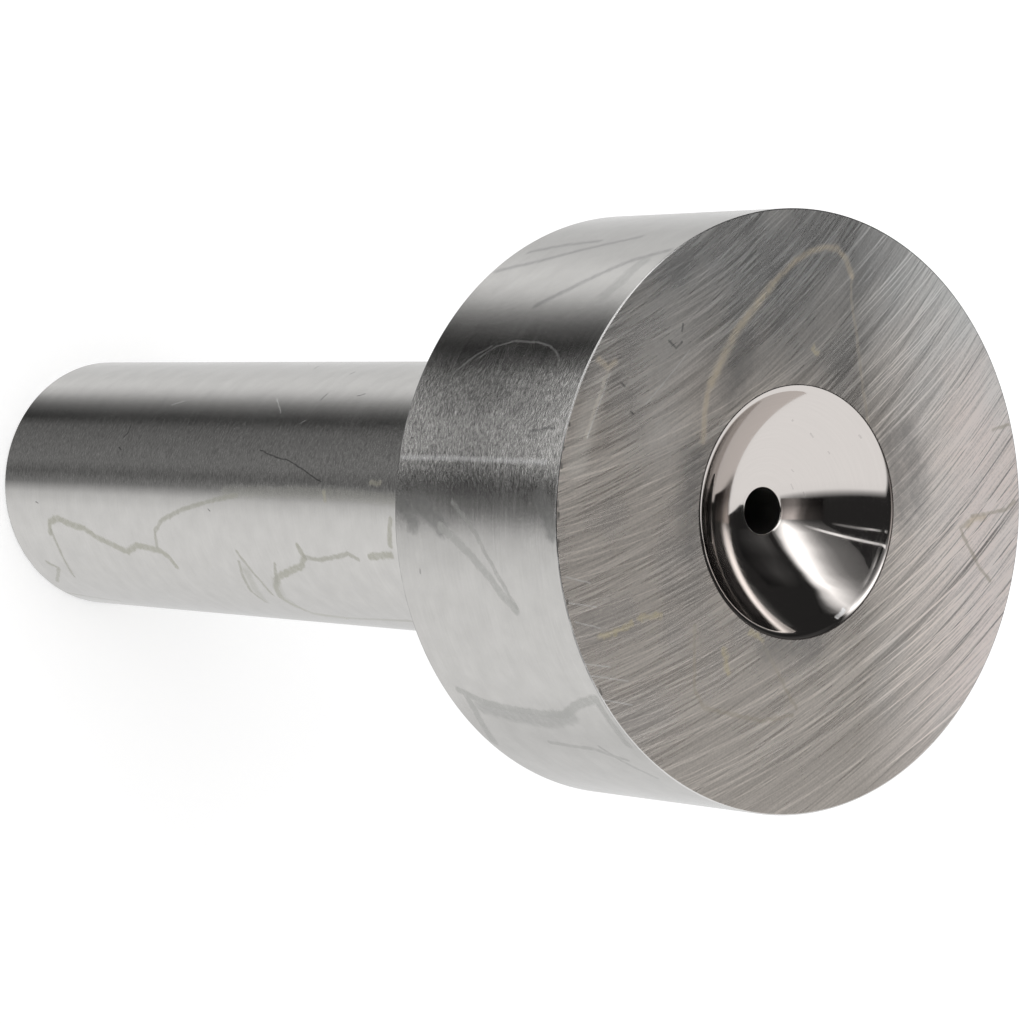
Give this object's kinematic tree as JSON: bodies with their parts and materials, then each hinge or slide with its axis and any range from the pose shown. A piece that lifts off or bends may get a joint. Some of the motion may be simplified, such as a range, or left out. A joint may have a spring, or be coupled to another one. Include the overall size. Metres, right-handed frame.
{
  "type": "sprue bushing",
  "caption": "One-piece sprue bushing: thick round head with a spherical nozzle seat, plain ground shank and a tapered sprue channel along the axis.",
  "frame": {"origin": "centre of the shoulder, on the axis, where the underside of the head seats on the mould plate", "axes": "+Z along the axis towards the nozzle, out of the head's face; the shank runs along -Z; the part is round, so X and Y are free"},
  "size_m": [0.0508, 0.0508, 0.1115],
  "materials": {
    "tool_steel": "ground outside diameters, abrasive-brushed face, polished spherical seat"
  },
  "bodies": {
    "root": {"sprue_bushing": "tool_steel"}
  },
  "joints": []
}
